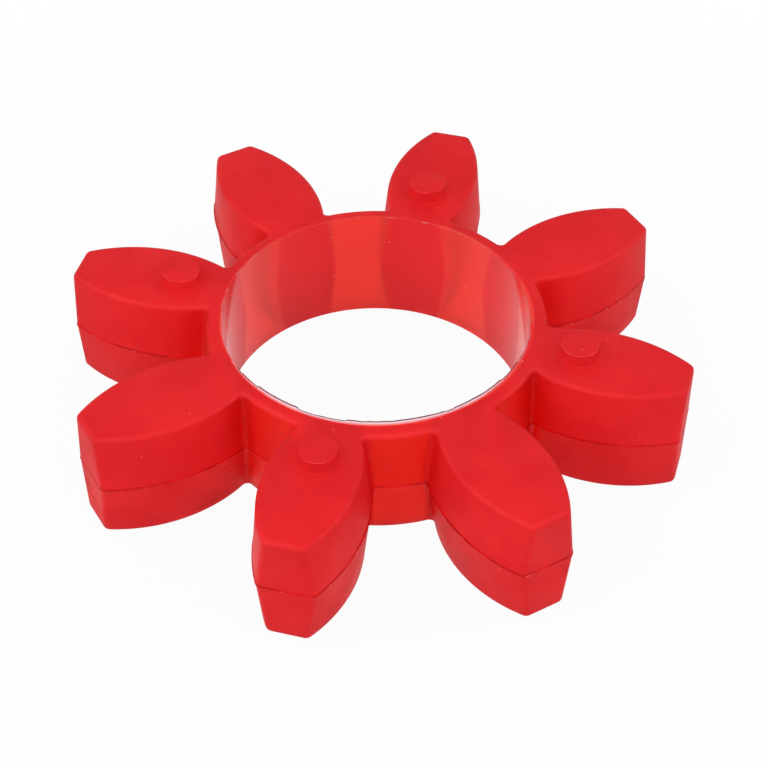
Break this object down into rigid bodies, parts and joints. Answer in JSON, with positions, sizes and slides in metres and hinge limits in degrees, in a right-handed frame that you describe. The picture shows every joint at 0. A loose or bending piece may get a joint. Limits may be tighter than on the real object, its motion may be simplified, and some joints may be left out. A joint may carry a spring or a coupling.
{
  "type": "jaw coupling spider",
  "caption": "Star-shaped elastomer spider: crowned petal teeth round a thin ring, the flexible insert that sits between the two hubs of a jaw coupling.",
  "frame": {"origin": "on the axis of the bore, at mid width, in the parting plane of the mould", "axes": "+Z along the bore, towards the face whose pips stand between the row axes; +X along a tooth that has its pip on the lower face"},
  "size_m": [0.105, 0.105, 0.0254],
  "materials": {
    "elastomer": "translucent red cast polyurethane, satin on the faces and flanks, glossier in the bore"
  },
  "bodies": {
    "root": {"spider": "elastomer"}
  },
  "joints": []
}
